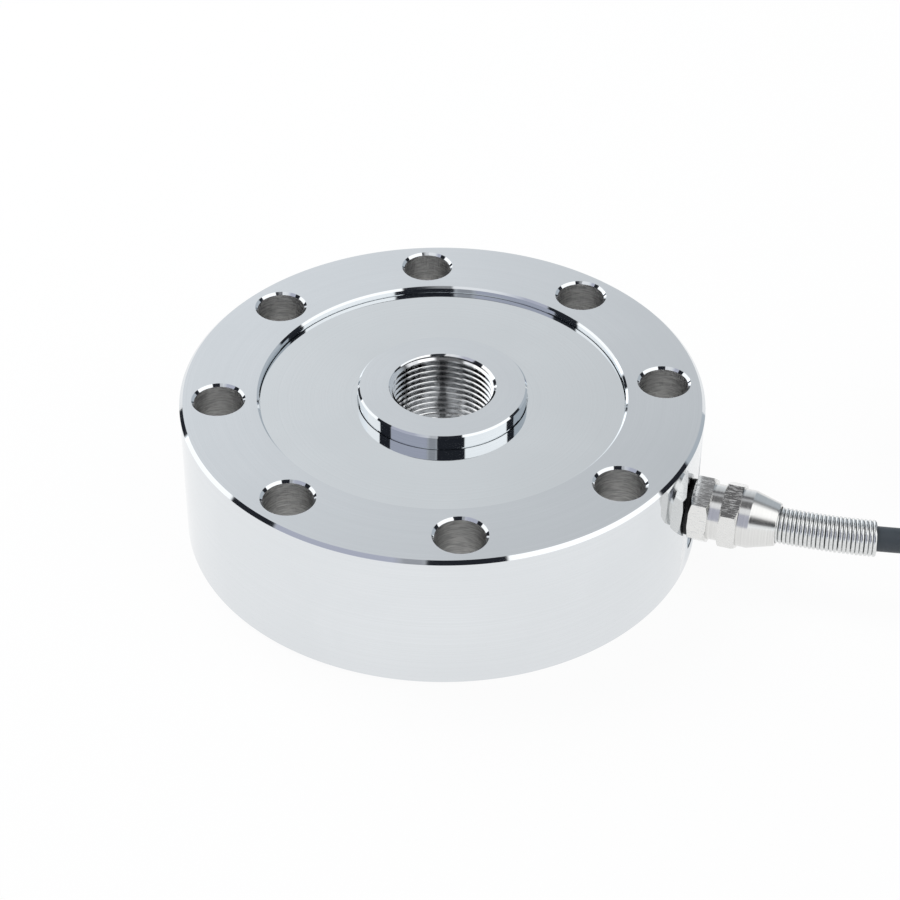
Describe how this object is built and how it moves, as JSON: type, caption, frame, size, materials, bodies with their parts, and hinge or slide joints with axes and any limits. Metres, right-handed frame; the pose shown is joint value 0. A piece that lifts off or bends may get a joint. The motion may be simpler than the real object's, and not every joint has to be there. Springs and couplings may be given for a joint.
{
  "type": "spoke type load cell",
  "caption": "Round flange load cell with a threaded centre hub, a bolt circle in the rim, a side cable gland with a spring strain relief, and a coiled cable.",
  "frame": {"origin": "centre of the rim's base, on the loading axis", "axes": "+Z is the loading axis, from the base to the hub's face; +X is the way the cable leaves the gland"},
  "size_m": [0.2508, 0.1648, 0.036],
  "materials": {
    "body_steel": "fine turned, nearly polished",
    "cover_steel": "polished plate with faint turning marks",
    "gland_nickel": "nickel plate over milled and turned faces",
    "spring_steel": "bright drawn wire",
    "seal_rubber": "matte black",
    "cable_jacket": "dark blue-grey, matte",
    "gauge_film": "amber film with grey foil",
    "lead_wire": "enamelled wire with bright solder",
    "board_laminate": "green solder mask",
    "resistor_ceramic": "dark body with tinned ends",
    "core_red": "smooth insulation",
    "core_black": "smooth insulation",
    "core_green": "smooth insulation",
    "core_white": "smooth insulation",
    "shield_braid": "tinned copper braid",
    "sleeve_shrink": "shrunk tube, satin",
    "tie_nylon": "moulded nylon"
  },
  "bodies": {
    "root": {"sensor_body": "body_steel", "top_cover": "cover_steel", "bottom_cover": "cover_steel", "shear_gauge_1": "gauge_film", "shear_gauge_2": "gauge_film", "shear_gauge_3": "gauge_film", "shear_gauge_4": "gauge_film", "shear_gauge_5": "gauge_film", "shear_gauge_6": "gauge_film", "shear_gauge_7": "gauge_film", "shear_gauge_8": "gauge_film", "gauge_leads_1": "lead_wire", "gauge_leads_2": "lead_wire", "gauge_leads_3": "lead_wire", "gauge_leads_4": "lead_wire", "gauge_leads_5": "lead_wire", "gauge_leads_6": "lead_wire", "gauge_leads_7": "lead_wire", "gauge_leads_8": "lead_wire", "bridge_board": "board_laminate", "zero_resistor": "resistor_ceramic", "span_resistor": "resistor_ceramic", "temperature_resistor": "resistor_ceramic", "linearity_resistor": "resistor_ceramic", "inner_core_red": "core_red", "inner_core_black": "core_black", "inner_core_green": "core_green", "inner_core_white": "core_white", "gland_seal_ring": "seal_rubber", "gland_body": "gland_nickel", "cable_bush": "seal_rubber", "thrust_washer": "gland_nickel", "gland_nut": "gland_nickel", "strain_spring": "spring_steel", "cable": "cable_jacket", "cable_coil": "cable_jacket", "coil_tie_1": "tie_nylon", "coil_tie_2": "tie_nylon", "end_sleeve": "sleeve_shrink", "lead_red": "core_red", "lead_black": "core_black", "lead_green": "core_green", "lead_white": "core_white", "lead_shield": "shield_braid"}
  },
  "joints": []
}
